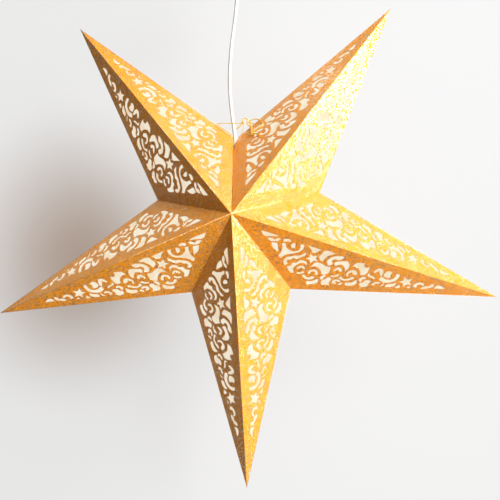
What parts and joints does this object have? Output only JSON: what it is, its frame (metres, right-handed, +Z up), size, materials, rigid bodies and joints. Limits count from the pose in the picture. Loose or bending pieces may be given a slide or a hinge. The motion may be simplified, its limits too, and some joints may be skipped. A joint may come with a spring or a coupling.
{
  "type": "paper star lantern",
  "caption": "Gold paper star lantern with pierced scrollwork and white lining, folded open and tied at its top seam, hanging by a white lamp cord from a small ceiling cup",
  "frame": {"origin": "the middle of the ceiling plate's top face", "axes": "+Z up out of the ceiling face, the star's front faces -Y and +X is to its right seen from the front"},
  "size_m": [0.5964, 0.154, 0.663],
  "materials": {
    "gold_card": "gold glitter card",
    "lining_paper": "white translucent paper",
    "cord_white": "white plastic cord",
    "white_plastic": "white moulded plastic",
    "bulb_metal": "plain metal screw cap",
    "bulb_glass": "frosted glass",
    "plate_steel": "plain steel plate",
    "gold_string": "thin gold twine"
  },
  "bodies": {
    "root": {"paper_point_1": "gold_card", "paper_point_2": "gold_card", "paper_point_3": "gold_card", "paper_point_4": "gold_card", "paper_point_5": "gold_card", "lining_front_right_1": "lining_paper", "lining_front_left_1": "lining_paper", "lining_back_right_1": "lining_paper", "lining_back_left_1": "lining_paper", "lining_front_right_2": "lining_paper", "lining_front_left_2": "lining_paper", "lining_back_right_2": "lining_paper", "lining_back_left_2": "lining_paper", "lining_front_right_3": "lining_paper", "lining_front_left_3": "lining_paper", "lining_back_right_3": "lining_paper", "lining_back_left_3": "lining_paper", "lining_front_right_4": "lining_paper", "lining_front_left_4": "lining_paper", "lining_back_right_4": "lining_paper", "lining_back_left_4": "lining_paper", "lining_front_right_5": "lining_paper", "lining_front_left_5": "lining_paper", "lining_back_right_5": "lining_paper", "lining_back_left_5": "lining_paper", "lamp_cord": "cord_white", "holder_cap": "white_plastic", "holder_body": "white_plastic", "bulb_cap": "bulb_metal", "bulb_glass": "bulb_glass", "ceiling_cup": "white_plastic", "cord_grip": "white_plastic", "ceiling_plate": "plate_steel", "tie_string": "gold_string", "tie_bow": "gold_string"}
  },
  "joints": []
}
